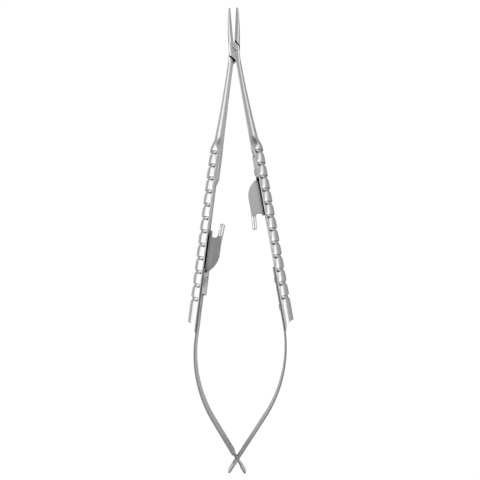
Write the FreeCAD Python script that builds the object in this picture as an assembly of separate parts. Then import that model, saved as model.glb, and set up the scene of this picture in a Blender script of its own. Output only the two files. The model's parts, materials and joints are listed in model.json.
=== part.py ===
# Spring-handle surgical needle holder lying flat on a table, jaws open as its springs hold them.
# Millimetres. +Y runs to the jaw tips, +X to the right grip, +Z up; the origin is under the middle.
# Every piece is drawn about the pivot, at half height, and all are moved together at the end.

import FreeCAD
import Part
import math
import os

os.makedirs("parts", exist_ok=True)

Vector = FreeCAD.Vector
X_AXIS = Vector(1, 0, 0)
Y_AXIS = Vector(0, 1, 0)
Z_AXIS = Vector(0, 0, 1)
PIVOT = Vector(0, 0, 0)

# The hinge and how far it stands open
OPEN_ANGLE = 7.2          # between the two jaw faces at rest
GRIP_LEAN = 4.6           # each grip leans out this far when the jaws are shut
LAP_GAP = 0.06            # between the two lapped halves of the joint
SHUT_GAP = 0.08           # left between the jaw faces at the end of the travel

# Jaws
JAW_LENGTH = 18.5         # from the pivot
JAW_ROOT_WIDTH = 2.2
JAW_ROOT_HEIGHT = 3.8
JAW_TIP_WIDTH = 0.96
JAW_TIP_HEIGHT = 1.6
JAW_TIP_BEVEL = 0.45
JAW_BELLY = 0.25          # how much the outer side bulges at mid length
JAW_SIDE_SHARE = 0.25     # of a jaw's width that stays flat above and below

# Joint
JOINT_WIDTH = 4.4
JOINT_HEIGHT = 3.8
JOINT_ROUND = 1.1         # rounding of the long outer edges
SHOULDER_ANGLE = 42.0     # how the lap's shoulders slant
JAW_SHOULDER = 2.4        # from the pivot to the shoulder at the jaws
SHANK_SHOULDER = 2.9      # from the pivot to the shoulder at the shanks
SHOULDER_GAP = 0.5

# Pivot screw
SCREW_DIAMETER = 1.5
SCREW_HEAD_DIAMETER = 2.4
SCREW_HEAD_ANGLE = 90.0
SCREW_SLOT_WIDTH = 0.35
SCREW_SLOT_DEPTH = 0.3
SCREW_SLOT_TURN = 35.0
SCREW_CLEARANCE = 0.03    # running fit in the upper lap, radial
THREAD_CLEARANCE = 0.01   # seat in the threaded lower lap, radial

# Shanks; a depth is measured from the inner face to the outer side
SHANK_JOINT_DEPTH = 2.0
SHANK_MIDDLE_DEPTH = 2.3
SHANK_END_DEPTH = 3.3
SHANK_MIDDLE_HEIGHT = 4.6
SHANK_END_HEIGHT = 6.4
SHANK_LENGTH = 36.5       # pivot to where the first bead swells
SHANK_SIDE = 0.5          # flat band beside the inner face

# Grips: half-round bars with beads on the outside. Offsets are from the line through the pivot
GRIP_DIAMETER = 8.0
GRIP_SWELL = 5.3          # from the shank's end to the full first bead
GRIP_END = 112.5          # from the pivot
GRIP_CENTRE_OFFSET = 0.52  # the round's axis
LAND_OFFSET = -0.05       # inner face of shank and first bead
SEAT_OFFSET = 0.8         # milled seat for leaf and catch
LEFT_SEAT_START = 55.0    # from the pivot
RIGHT_SEAT_START = 44.0
SEAT_RUN_OUT = 2.6        # slope from the land down to the seat
SCOOP_RADIUS = 3.4        # hollow run-out at the grip's end
SCOOP_LIP = 0.25          # steel left beside the leaf there

# Grooves between the beads
FIRST_BEAD = 0.9          # full bead before the first groove
GROOVE_PITCH = 5.17
GROOVE_DEPTH = 0.5
GROOVE_WALL = 0.12        # the steep wall leans by this
GROOVE_FLOOR = 0.75       # from the steep wall to where the ramp begins
GROOVE_RAMP = 2.2         # from the steep wall to where the next bead reaches full size
GROOVE_WRAP = 158.0       # degrees of the round that a groove takes in
PLAIN_END = 12.8          # from the last groove's steep wall to the grip's end

# Catches, pressed from sheet; lengths run along the grip from the web's open end to the foot
SHEET = 1.0
CATCH_LENGTH = 22.95
WEB_LENGTH = 7.05         # straight inner edge
WEB_REACH = 5.3           # from the seat to the inner edge
WEB_SWEEP_REACH = 4.45    # the edge curves through here
WEB_SWEEP_LENGTH = 10.35
WEB_TAPER_END = 13.75
WEB_TOP = 1.5             # above the middle plane
FLANGE_HEIGHT = 7.6
FLANGE_ROUND = 1.2
BEND_RADIUS = 0.9         # outside of the fold
POST_LENGTH = 5.9
POST_WIDTH = 1.8
POST_HEIGHT = 3.0
POST_ROOT = 1.6           # the post runs this far under the web
POST_ROUND = 0.8          # along its two top edges
POST_TILT = 5.0
POST_FILLET = 0.8         # in the corner between post and web
DENT_RADIUS = 0.35        # in the left post's outer side
DENT_SHARE = 0.65         # of the post's length from its root
EAR_LENGTH = 2.15         # tab on the left catch's open end
EAR_HEIGHT = 3.2
OPEN_END_SLANT = 0.8      # the open end starts this much earlier at the seat
JOGGLE_START = 11.45      # past here the left foot steps inward over the leaf
JOGGLE_LENGTH = 1.0
LEFT_CATCH_PLACE = 75.7   # open end, from the pivot
RIGHT_CATCH_PLACE = 67.8

# Spring leaves
LEAF_THICKNESS = 0.6
LEAF_ROOT_WIDTH = 7.4
LEAF_END_WIDTH = 6.2
LEAF_TOP_GAP = 0.3        # from the left catch's joggle to the leaves' upper end
LEFT_BEND_START = 2.4     # from the grip's end to where the leaf leaves the straight
LEFT_TAIL_LEAN = 31.3     # degrees off the long axis, where the leaf crosses the other
RIGHT_BEND_START = -2.1
RIGHT_TAIL_LEAN = 35.3
CROSSING_X = -2.4         # where the leaves cross
CROSSING_DROP = 44.8      # below the grips' end
TAIL_LENGTH = 5.6         # beyond the crossing
TONGUE_WIDTH = 2.6
TONGUE_START = -1.6       # from the crossing
TONGUE_SLANT = 1.0        # length of the slanted shoulders before it
BARB_WIDTH = 4.2
BARB_TIP_WIDTH = 2.8
BARB_LENGTH = 3.0
SLOT_WIDTH = 3.4
SLOT_START = -2.8         # from the crossing
SLOT_END = 2.4
SLOT_ROUND = 0.6
PADDLE_ROUND = 2.2

# Rivets
RIVET_DIAMETER = 1.6
RIVET_HEAD_DIAMETER = 2.4
RIVET_HEAD_HEIGHT = 0.35
RIVET_DEPTH = 2.4         # into the grip
RIVET_CLEARANCE = 0.02
FOOT_RIVET = 16.85        # along the catch
WEB_RIVET = 5.45
WEB_RIVET_DROP = 1.2      # below the middle plane
LEAF_RIVET_BELOW_TOP = 5.0
LEAF_RIVET_ABOVE_END = 8.6

HALF_OPEN = OPEN_ANGLE / 2
SPREAD = GRIP_LEAN + HALF_OPEN  # each grip off the middle line at rest
GRIP_START = SHANK_LENGTH + GRIP_SWELL
GRIP_RADIUS = GRIP_DIAMETER / 2
GRIP_OUTER = GRIP_CENTRE_OFFSET + GRIP_RADIUS
FIRST_GROOVE = GRIP_START + FIRST_BEAD
GROOVE_COUNT = 1 + int((GRIP_END - PLAIN_END - FIRST_GROOVE) / GROOVE_PITCH)
LEAF_TOP = LEFT_CATCH_PLACE + JOGGLE_START + JOGGLE_LENGTH + LEAF_TOP_GAP
CROSSING_Y = -(GRIP_END + CROSSING_DROP)
LOFT_STEPS = 6            # straight stretches that a tapered limb is drawn with
SWELL_STEPS = 4
REACH = 40.0              # longer than any stretch that is cut away at once
SPARE = 0.5               # extra stock, planed off again
NEAR = 0.01               # places closer than this are one


def prism(points, low, high):
    """Upright solid over a flat outline of (x, y) corners."""
    corners = [Vector(x, y, low) for x, y in points]
    face = Part.Face(Part.makePolygon(corners + corners[:1]))
    return face.extrude(Vector(0, 0, high - low))


def turned(shape, degrees):
    """The shape swung about the pivot."""
    swung = shape.copy()
    swung.rotate(PIVOT, Z_AXIS, degrees)
    return swung


def d_section(station, inner, side, outer, height):
    """Flat-sided round section of an arm at a distance below the pivot."""
    low_inner = Vector(inner, -station, -height / 2)
    low_side = Vector(side, -station, -height / 2)
    high_side = Vector(side, -station, height / 2)
    high_inner = Vector(inner, -station, height / 2)
    crown = Part.Arc(low_side, Vector(outer, -station, 0), high_side)
    edges = [
        Part.makeLine(low_inner, low_side),
        crown.toShape(),
        Part.makeLine(high_side, high_inner),
        Part.makeLine(high_inner, low_inner),
    ]
    return Part.Wire(edges)


def jaw():
    """The left jaw, flat towards the other jaw and round outside, with a bevelled tip."""
    middle_width = (JAW_ROOT_WIDTH + JAW_TIP_WIDTH) / 2 + JAW_BELLY
    middle_height = (JAW_ROOT_HEIGHT + JAW_TIP_HEIGHT) / 2
    bevel_start = JAW_LENGTH - JAW_TIP_BEVEL
    sections = []
    for step in range(LOFT_STEPS + 1):
        share = step / LOFT_STEPS
        station = blend(JAW_SHOULDER, bevel_start, share)
        width = through(share, JAW_ROOT_WIDTH, middle_width, JAW_TIP_WIDTH)
        height = through(share, JAW_ROOT_HEIGHT, middle_height, JAW_TIP_HEIGHT)
        sections.append(jaw_section(station, width, height))
    end = jaw_section(JAW_LENGTH, JAW_TIP_WIDTH - JAW_TIP_BEVEL, JAW_TIP_HEIGHT - JAW_TIP_BEVEL)
    heel = Part.Face(sections[0]).extrude(Vector(0, -JAW_SHOULDER, 0))
    body = heel.fuse(Part.makeLoft(sections + [end], True, True))
    other_side = Part.makeBox(
        REACH, REACH, REACH, Vector(-SHUT_GAP / 2, -REACH / 2, -REACH / 2)
    )
    return body.cut(other_side)


def jaw_section(station, width, height):
    """Section of the left jaw, with spare stock on its flat face."""
    return d_section(-station, SPARE, -width * JAW_SIDE_SHARE, -width, height)


def joint_block():
    """The joint's block between its two shoulders, its long edges rounded."""
    crotch = JAW_SHOULDER + SHOULDER_GAP
    heel = SHANK_SHOULDER / math.sin(math.radians(SHOULDER_ANGLE))
    block = Part.makeBox(
        JOINT_WIDTH,
        crotch + heel,
        JOINT_HEIGHT,
        Vector(-JOINT_WIDTH / 2, -heel, -JOINT_HEIGHT / 2),
    )
    long_edges = [edge for edge in block.Edges if edge.BoundBox.YLength > JOINT_WIDTH / 2]
    rounded = block.makeFillet(JOINT_ROUND, long_edges)
    return rounded.common(between_shoulders(1, 0, -JOINT_HEIGHT, JOINT_HEIGHT))


def between_shoulders(turn, gap, low, high):
    """The band between the two shoulder lines, widened by a gap. Turn -1 mirrors it."""
    angle = math.radians(SHOULDER_ANGLE)
    normal = Vector(turn * math.cos(angle), math.sin(angle), 0)
    along = Vector(-normal.y, normal.x, 0) * REACH
    top = normal * (JAW_SHOULDER + gap)
    bottom = normal * -(SHANK_SHOULDER + gap)
    corners = [top + along, top - along, bottom - along, bottom + along]
    return prism([(corner.x, corner.y) for corner in corners], low, high)


def smooth(share):
    """Eases from 0 to 1."""
    return share * share * (3 - 2 * share)


def shank_section(station):
    """Section of the shank, swelling into the first bead past the shank's end."""
    along = min(station / SHANK_LENGTH, 1)
    depth = through(along, SHANK_JOINT_DEPTH, SHANK_MIDDLE_DEPTH, SHANK_END_DEPTH)
    height = through(along, JOINT_HEIGHT, SHANK_MIDDLE_HEIGHT, SHANK_END_HEIGHT)
    swell = smooth(max(station - SHANK_LENGTH, 0) / GRIP_SWELL)
    side = blend(LAND_OFFSET + SHANK_SIDE, GRIP_CENTRE_OFFSET, swell)
    outer = blend(LAND_OFFSET + depth, GRIP_OUTER, swell)
    height = blend(height, GRIP_DIAMETER, swell)
    return d_section(station, LAND_OFFSET - SPARE, side, outer, height)


def through(share, first, middle, last):
    """Quadratic that takes three values at the start, the middle and the end."""
    rise = first + (last - first) * share
    return rise + 4 * share * (1 - share) * (middle - (first + last) / 2)


def blend(first, last, share):
    return first + (last - first) * share


def shank():
    """The shank, then its swell up to the full first bead."""
    root = JOINT_WIDTH / 2
    slim = [blend(root, SHANK_LENGTH, step / LOFT_STEPS) for step in range(LOFT_STEPS + 1)]
    full = [SHANK_LENGTH + GRIP_SWELL * step / SWELL_STEPS for step in range(SWELL_STEPS + 1)]
    sections = [shank_section(station) for station in slim + full[1:]]
    return Part.makeLoft(sections, True, True)


def grip_bar():
    """The plain half-round bar of the grip."""
    end = shank_section(GRIP_START)
    return Part.Face(end).extrude(Vector(0, GRIP_START - GRIP_END, 0))


def groove(start):
    """Cutter for one groove: steep wall towards the jaws, soft ramp into the next bead."""
    floor = GRIP_RADIUS - GROOVE_DEPTH
    above = GRIP_RADIUS + GROOVE_DEPTH
    outline = [
        (start, above),
        (start + GROOVE_WALL, floor),
        (start + GROOVE_FLOOR, floor),
        (start + 2 * GROOVE_RAMP - GROOVE_FLOOR, above),
    ]
    corners = [Vector(GRIP_CENTRE_OFFSET + r, -s, 0) for s, r in outline]
    profile = Part.Face(Part.makePolygon(corners + corners[:1]))
    centre = Vector(GRIP_CENTRE_OFFSET, 0, 0)
    profile.rotate(centre, Y_AXIS, -GROOVE_WRAP / 2)
    return profile.revolve(centre, Y_AXIS, GROOVE_WRAP)


def end_scoop():
    """Cutter for the hollow run-out where the grip ends on the leaf."""
    centre = SEAT_OFFSET + SCOOP_LIP + SCOOP_RADIUS
    place = Vector(centre, -GRIP_END, -GRIP_DIAMETER)
    return Part.makeCylinder(SCOOP_RADIUS, 2 * GRIP_DIAMETER, place, Z_AXIS)


def seat_cutter(start):
    """Cutter for the milled seat of a grip, with its run-out towards the jaws."""
    beyond = GRIP_END + SPARE
    outline = [
        (LAND_OFFSET, SEAT_RUN_OUT - start),
        (SEAT_OFFSET, -start),
        (SEAT_OFFSET, -beyond),
        (LAND_OFFSET - REACH, -beyond),
        (LAND_OFFSET - REACH, SEAT_RUN_OUT - start),
    ]
    return prism(outline, -GRIP_DIAMETER, GRIP_DIAMETER)


def handle(seat_start):
    """Shank and ringed grip along the grip's own line, with the seat milled."""
    bar = grip_bar().cut(end_scoop())
    for number in range(GROOVE_COUNT):
        bar = bar.cut(groove(FIRST_GROOVE + number * GROOVE_PITCH))
    whole = shank().fuse(bar)
    spare = Part.makeBox(
        REACH, 2 * GRIP_END, REACH, Vector(LAND_OFFSET - REACH, -2 * GRIP_END, -REACH / 2)
    )
    return whole.cut([spare, seat_cutter(seat_start)])


def arm_blank(seat_start):
    """One arm with its jaw left and its grip right, as it lies with the jaws shut."""
    lap_room = between_shoulders(-1, SHOULDER_GAP, -GRIP_DIAMETER, LAP_GAP / 2)
    blank = turned(handle(seat_start), GRIP_LEAN).fuse([joint_block(), jaw()])
    return blank.cut(lap_room)


def turned_over(shape):
    """The shape rolled half a turn about the long axis."""
    rolled = shape.copy()
    rolled.rotate(PIVOT, Y_AXIS, 180)
    return rolled


def screw_body(clearance):
    """Countersunk screw through both laps, grown all round by a clearance."""
    head = SCREW_HEAD_DIAMETER / 2 + clearance
    stem = SCREW_DIAMETER / 2 + clearance
    top = JOINT_HEIGHT / 2
    neck = top - (head - stem) / math.tan(math.radians(SCREW_HEAD_ANGLE / 2))
    outline = [(0, top), (head, top), (stem, neck), (stem, -top), (0, -top)]
    corners = [Vector(r, 0, z) for r, z in outline]
    return Part.Face(Part.makePolygon(corners + corners[:1])).revolve(PIVOT, Z_AXIS, 360)


def pivot_screw():
    """The joint's screw, flush at both ends, with a driver slot."""
    corner = Vector(
        -SCREW_SLOT_WIDTH / 2, -SCREW_HEAD_DIAMETER, JOINT_HEIGHT / 2 - SCREW_SLOT_DEPTH
    )
    slot = Part.makeBox(SCREW_SLOT_WIDTH, 2 * SCREW_HEAD_DIAMETER, JOINT_HEIGHT, corner)
    return screw_body(0).cut(turned(slot, SCREW_SLOT_TURN))


def rivet(stack):
    """Rivet along x: low flat head on a stack of sheets, stem in the grip beyond x = 0."""
    head = RIVET_HEAD_DIAMETER / 2
    stem = RIVET_DIAMETER / 2
    crown = -stack - RIVET_HEAD_HEIGHT
    outline = [
        (crown, 0),
        (crown, head),
        (-stack, head),
        (-stack, stem),
        (RIVET_DEPTH, stem),
        (RIVET_DEPTH, 0),
    ]
    corners = [Vector(x, r, 0) for x, r in outline]
    return Part.Face(Part.makePolygon(corners + corners[:1])).revolve(PIVOT, X_AXIS, 360)


def rivet_hole(stack):
    """Cutter for a rivet's hole through the stack and into the grip."""
    radius = RIVET_DIAMETER / 2 + RIVET_CLEARANCE
    length = SPARE + stack + RIVET_DEPTH + RIVET_CLEARANCE
    return Part.makeCylinder(radius, length, Vector(-stack - SPARE, 0, 0), X_AXIS)


def catch(joggle):
    """Pressed angle on the seat plane x = 0: flange, foot, folded web and post.

    The foot steps inward by the joggle, over whatever lies under it.
    """
    whole = catch_plate(joggle).fuse([catch_web(joggle), post()])
    length = JOGGLE_START if joggle else WEB_TAPER_END
    corner = Vector(-BEND_RADIUS, -SPARE, WEB_TOP - BEND_RADIUS)
    stock = Part.makeBox(BEND_RADIUS + SPARE, length + SPARE, BEND_RADIUS + SPARE, corner)
    bend = Part.makeCylinder(BEND_RADIUS, length + SPARE, corner, Y_AXIS)
    return whole.cut(stock.cut(bend))


def catch_plate(joggle):
    """Flange and foot, with their corners rounded."""
    step_end = JOGGLE_START + JOGGLE_LENGTH
    outline = [
        (0, 0),
        (0, JOGGLE_START),
        (-joggle, step_end),
        (-joggle, CATCH_LENGTH),
        (-joggle - SHEET, CATCH_LENGTH),
        (-joggle - SHEET, step_end),
        (-SHEET, JOGGLE_START),
        (-SHEET, 0),
    ]
    half = FLANGE_HEIGHT / 2
    plate = prism(outline, -half, half)
    above_web = Part.makeBox(
        REACH, WEB_TAPER_END + SPARE, REACH, Vector(-REACH / 2, -SPARE, WEB_TOP)
    )
    plate = plate.cut(above_web)
    corners = [
        edge
        for edge in plate.Edges
        if edge.BoundBox.XLength > SHEET / 2
        and edge.BoundBox.YLength < NEAR
        and abs(abs(edge.BoundBox.Center.z) - half) < NEAR
    ]
    return plate.makeFillet(FLANGE_ROUND, corners)


def catch_web(joggle):
    """The web folded inward from the flange, its inner edge sweeping back to the foot."""
    post_side = POST_WIDTH - WEB_REACH
    heel = OPEN_END_SLANT * (1 - POST_WIDTH / WEB_REACH)
    centre = Vector(post_side + POST_FILLET, heel - POST_FILLET, WEB_TOP)
    towards_corner = Vector(-1, 1, 0).normalize() * POST_FILLET
    points = [
        Vector(-joggle, WEB_TAPER_END, WEB_TOP),
        Vector(-joggle, JOGGLE_START + JOGGLE_LENGTH, WEB_TOP),
        Vector(0, JOGGLE_START, WEB_TOP),
        Vector(0, 0, WEB_TOP),
        centre + Vector(0, POST_FILLET, 0),
        centre - Vector(POST_FILLET, 0, 0),
        Vector(-WEB_REACH, centre.y, WEB_TOP),
        Vector(-WEB_REACH, WEB_LENGTH, WEB_TOP),
        Vector(-joggle - SHEET, WEB_TAPER_END, WEB_TOP),
    ]
    edges = [Part.makeLine(first, second) for first, second in zip(points, points[1:])]
    edges[4] = Part.Arc(points[4], centre + towards_corner, points[5]).toShape()
    sweep = Vector(-WEB_SWEEP_REACH, WEB_SWEEP_LENGTH, WEB_TOP)
    edges[7] = Part.Arc(points[7], sweep, points[8]).toShape()
    edges.append(Part.makeLine(points[-1], points[0]))
    return Part.Face(Part.Wire(edges)).extrude(Vector(0, 0, -SHEET))


def post():
    """The catch's post, round on top, leaning inward from the web's open end."""
    low = WEB_TOP - POST_HEIGHT
    bar = Part.makeBox(
        POST_WIDTH, POST_LENGTH + POST_ROOT, POST_HEIGHT, Vector(0, -POST_LENGTH, low)
    )
    top_edges = [
        edge
        for edge in bar.Edges
        if edge.BoundBox.ZMin > low + NEAR and edge.BoundBox.YLength > POST_LENGTH
    ]
    bar = bar.makeFillet(POST_ROUND, top_edges)
    bar.rotate(PIVOT, Z_AXIS, -POST_TILT)
    bar.translate(Vector(-WEB_REACH, OPEN_END_SLANT, 0))
    return bar


def left_catch():
    """The catch over the left leaf's end, with an ear and a dent in its post."""
    ear = Part.makeBox(
        SHEET,
        EAR_LENGTH + SHEET,
        EAR_HEIGHT,
        Vector(-SHEET, -EAR_LENGTH, WEB_TOP - SHEET - EAR_HEIGHT),
    )
    lean = math.radians(POST_TILT)
    down_post = Vector(-math.sin(lean), -math.cos(lean), 0)
    across_post = Vector(math.cos(lean), -math.sin(lean), 0)
    corner = Vector(-WEB_REACH, OPEN_END_SLANT, WEB_TOP - POST_HEIGHT - SPARE)
    place = corner + across_post * POST_WIDTH + down_post * (POST_LENGTH * DENT_SHARE)
    dent = Part.makeCylinder(DENT_RADIUS, POST_HEIGHT + 2 * SPARE, place, Z_AXIS)
    return catch(LEAF_THICKNESS).fuse(ear).cut(dent)


def leaf(bend_start, tail_lean, crossing_x, tail):
    """A leaf on the right grip: straight, bent inward, then straight through the crossing."""
    half = LEAF_THICKNESS / 2
    lean = math.radians(SPREAD)
    turn = -math.radians(tail_lean)
    outward = Vector(math.cos(lean), math.sin(lean), 0)
    along = Vector(math.sin(lean), -math.cos(lean), 0)
    tail_along = Vector(math.sin(turn), -math.cos(turn), 0)
    start = outward * (SEAT_OFFSET - half) + along * LEAF_TOP
    bend = start + along * (GRIP_END + bend_start - LEAF_TOP)
    crossing = Vector(crossing_x, CROSSING_Y, 0)
    reach = crossing - bend
    tangent = reach.cross(tail_along).z / along.cross(tail_along).z
    radius = tangent / math.tan((lean - turn) / 2)
    centre = bend - outward * radius
    straight = (crossing - around(centre, radius, turn)).dot(tail_along)
    angles = [lean, (lean + turn) / 2, turn]
    outer = [around(centre, radius + half, angle) for angle in angles]
    inner = [around(centre, radius - half, angle) for angle in reversed(angles)]
    outer_start = start + outward * half
    inner_start = start - outward * half
    edges = [
        Part.makeLine(outer_start, outer[0]),
        Part.Arc(*outer).toShape(),
        Part.makeLine(outer[-1], inner[0]),
        Part.Arc(*inner).toShape(),
        Part.makeLine(inner[-1], inner_start),
        Part.makeLine(inner_start, outer_start),
    ]
    strip = Part.Face(Part.Wire(edges)).extrude(Vector(0, 0, LEAF_ROOT_WIDTH))
    strip.translate(Vector(0, 0, -LEAF_ROOT_WIDTH / 2))
    strip = strip.common(side_taper(start.y + SPARE, bend.y, crossing.y))
    end = tail(-straight)
    end.rotate(PIVOT, Z_AXIS, -tail_lean)
    end.translate(crossing)
    return strip.fuse(end)


def around(centre, radius, angle):
    return centre + Vector(math.cos(angle), math.sin(angle), 0) * radius


def side_taper(top, bend, bottom):
    """A leaf's tapering outline seen from the side, as deep as the instrument is wide."""
    root = LEAF_ROOT_WIDTH / 2
    end = LEAF_END_WIDTH / 2
    outline = [(top, root), (bend, end), (bottom, end), (bottom, -end), (bend, -end), (top, -root)]
    corners = [Vector(-REACH, y, z) for y, z in outline]
    return Part.Face(Part.makePolygon(corners + corners[:1])).extrude(Vector(2 * REACH, 0, 0))


def sheet_outline(points):
    """Leaf sheet over an outline; the first number runs past the crossing, the second is height."""
    corners = [Vector(-LEAF_THICKNESS / 2, -past, z) for past, z in points]
    face = Part.Face(Part.makePolygon(corners + corners[:1]))
    return face.extrude(Vector(LEAF_THICKNESS, 0, 0))


def block_outline(start, end, width):
    return [(start, -width / 2), (start, width / 2), (end, width / 2), (end, -width / 2)]


def paddle_tail(start):
    """Straight tail with a rounded end and the slot for the other leaf's tongue."""
    paddle = sheet_outline(block_outline(start, TAIL_LENGTH, LEAF_END_WIDTH))
    ends = [edge for edge in cross_edges(paddle) if edge.CenterOfMass.y < 0]
    slot = sheet_outline(block_outline(SLOT_START, SLOT_END, SLOT_WIDTH))
    rounded_slot = slot.makeFillet(SLOT_ROUND, cross_edges(slot))
    return paddle.makeFillet(PADDLE_ROUND, ends).cut(rounded_slot)


def cross_edges(sheet):
    """The edges that run through a sheet's thickness."""
    return [edge for edge in sheet.Edges if edge.BoundBox.XLength > LEAF_THICKNESS / 2]


def tongue_tail(start):
    """Straight tail that narrows to a tongue with a barbed end."""
    full = LEAF_END_WIDTH / 2
    tongue = TONGUE_WIDTH / 2
    barb = TAIL_LENGTH - BARB_LENGTH
    upper = [
        (start, full),
        (TONGUE_START - TONGUE_SLANT, full),
        (TONGUE_START, tongue),
        (barb, tongue),
        (barb, BARB_WIDTH / 2),
        (TAIL_LENGTH, BARB_TIP_WIDTH / 2),
    ]
    lower = [(past, -height) for past, height in reversed(upper)]
    return sheet_outline(upper + lower)


def on_right(shape, distance, height):
    """Placed on the right grip's seat, its y towards the jaws."""
    placed = shape.copy()
    placed.translate(Vector(SEAT_OFFSET, -distance, height))
    return turned(placed, SPREAD)


def on_left(shape, distance, height):
    """Placed on the left grip's seat, its y towards the tails."""
    placed = shape.copy()
    placed.rotate(PIVOT, Z_AXIS, 180)
    placed.translate(Vector(-SEAT_OFFSET, -distance, height))
    return turned(placed, -SPREAD)


upper_arm = turned(arm_blank(RIGHT_SEAT_START), HALF_OPEN)
lower_arm = turned(turned_over(arm_blank(LEFT_SEAT_START)), -HALF_OPEN)
pieces = {
    "upper_arm": upper_arm.cut(screw_body(SCREW_CLEARANCE)),
    "lower_arm": lower_arm.cut(screw_body(THREAD_CLEARANCE)),
    "pivot_screw": pivot_screw(),
    "right_leaf": leaf(RIGHT_BEND_START, RIGHT_TAIL_LEAN, CROSSING_X, paddle_tail),
    "left_leaf": turned_over(leaf(LEFT_BEND_START, LEFT_TAIL_LEAN, -CROSSING_X, tongue_tail)),
    "right_catch": on_right(catch(0), RIGHT_CATCH_PLACE, 0),
    "left_catch": on_left(left_catch(), LEFT_CATCH_PLACE, 0),
}

# Rivets: name, side, distance from the pivot, height, thickness that the rivet holds down
low_leaf_rivet = GRIP_END - LEAF_RIVET_ABOVE_END
high_leaf_rivet = LEAF_TOP + LEAF_RIVET_BELOW_TOP
rivets = [
    ("right_catch_foot_rivet", on_right, RIGHT_CATCH_PLACE - FOOT_RIVET, 0, SHEET),
    ("right_catch_web_rivet", on_right, RIGHT_CATCH_PLACE - WEB_RIVET, -WEB_RIVET_DROP, SHEET),
    ("right_leaf_rivet_upper", on_right, high_leaf_rivet, 0, LEAF_THICKNESS),
    ("right_leaf_rivet_lower", on_right, low_leaf_rivet, 0, LEAF_THICKNESS),
    ("left_catch_foot_rivet", on_left, LEFT_CATCH_PLACE + FOOT_RIVET, 0, SHEET + LEAF_THICKNESS),
    ("left_catch_web_rivet", on_left, LEFT_CATCH_PLACE + WEB_RIVET, -WEB_RIVET_DROP, SHEET),
    ("left_leaf_rivet", on_left, low_leaf_rivet, 0, LEAF_THICKNESS),
]
drilled = {
    on_right: ("upper_arm", "right_leaf", "right_catch"),
    on_left: ("lower_arm", "left_leaf", "left_catch"),
}
for name, side, distance, height, stack in rivets:
    hole = side(rivet_hole(stack), distance, height)
    for carrier in drilled[side]:
        pieces[carrier] = pieces[carrier].cut(hole)
    pieces[name] = side(rivet(stack), distance, height)

# All pieces move together until the origin lies under the middle of the whole instrument
bounds = Part.Compound(list(pieces.values())).optimalBoundingBox(True, False)
pivot = Vector(-bounds.Center.x, -bounds.Center.y, -bounds.ZMin)
print("pivot at", pivot)
for name, piece in pieces.items():
    placed = piece.removeSplitter()
    placed.translate(pivot)
    placed.exportStep(f"parts/{name}.step")
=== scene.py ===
import bmesh
import bpy
import json
import math
from mathutils import Matrix, Vector


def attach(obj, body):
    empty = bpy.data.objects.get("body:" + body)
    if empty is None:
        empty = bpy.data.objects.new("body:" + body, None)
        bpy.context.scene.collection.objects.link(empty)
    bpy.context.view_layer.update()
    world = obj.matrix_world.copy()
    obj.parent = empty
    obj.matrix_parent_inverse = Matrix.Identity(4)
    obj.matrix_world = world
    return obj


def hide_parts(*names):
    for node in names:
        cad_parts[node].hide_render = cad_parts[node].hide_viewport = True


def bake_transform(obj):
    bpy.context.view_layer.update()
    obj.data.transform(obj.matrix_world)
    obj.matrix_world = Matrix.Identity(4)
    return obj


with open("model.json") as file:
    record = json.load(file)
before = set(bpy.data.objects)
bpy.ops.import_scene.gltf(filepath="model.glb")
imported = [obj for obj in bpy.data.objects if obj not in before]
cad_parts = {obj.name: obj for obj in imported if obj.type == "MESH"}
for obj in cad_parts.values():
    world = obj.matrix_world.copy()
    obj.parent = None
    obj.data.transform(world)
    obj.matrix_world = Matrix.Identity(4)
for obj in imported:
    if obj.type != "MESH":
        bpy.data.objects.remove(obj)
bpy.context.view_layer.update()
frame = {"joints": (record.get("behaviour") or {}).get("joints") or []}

# The view: a short lens close above the instrument, so that the tall round grips lean away
# from the middle and each of them shows a little of its inner face.
MM = 0.001
PIVOT = Vector(frame["joints"][0]["pos_m"])
camera = bpy.data.objects.new("camera", bpy.data.cameras.new("camera"))
camera.data.sensor_width = 36
camera.data.lens = 33.75
camera.data.clip_start = 0.01
camera.matrix_world = (
    Matrix.Translation((PIVOT.x + 8.48 * MM, PIVOT.y - 95.36 * MM, 176.5 * MM))
    @ Matrix.Rotation(math.radians(-1.487), 4, "Z")
    @ Matrix.Rotation(math.radians(6.69), 4, Vector((0.9090, 0.4167, 0)))
)
bpy.context.scene.collection.objects.link(camera)
bpy.context.scene.camera = camera
bpy.context.scene.view_settings.view_transform = "Standard"


# The table: a plain matt white top, much larger than the instrument, that the camera sees as
# an even white. To rays mirrored in the steel its colour is painted: white only close by, grey
# from two centimetres on and grey outside the right arm, a painted shade in the reflections.
ARM_SLOPE = math.tan(math.radians(8.2))
HALF_TABLE = 1.5
TABLE_DROP = 0.00002


def node(tree, kind, **values):
    """A shader node with its settings; sockets are given as i_NAME."""
    made = tree.nodes.new(kind)
    for name, value in values.items():
        if name.startswith("i_"):
            made.inputs[name[2:].replace("_", " ")].default_value = value
        else:
            setattr(made, name, value)
    return made


table_material = bpy.data.materials.new("white_table")
table_material.use_nodes = True
tree = table_material.node_tree
tree.nodes.clear()
path = node(tree, "ShaderNodeLightPath")
# Painted shade in reflections: seen from the steel, the table turns grey beyond two centimetres
near = node(
    tree, "ShaderNodeMapRange", interpolation_type="SMOOTHSTEP",
    i_From_Min=0.016, i_From_Max=0.024, i_To_Min=0.95, i_To_Max=0.42,
)
spot = node(tree, "ShaderNodeTexCoord")
parts = node(tree, "ShaderNodeSeparateXYZ")
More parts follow.
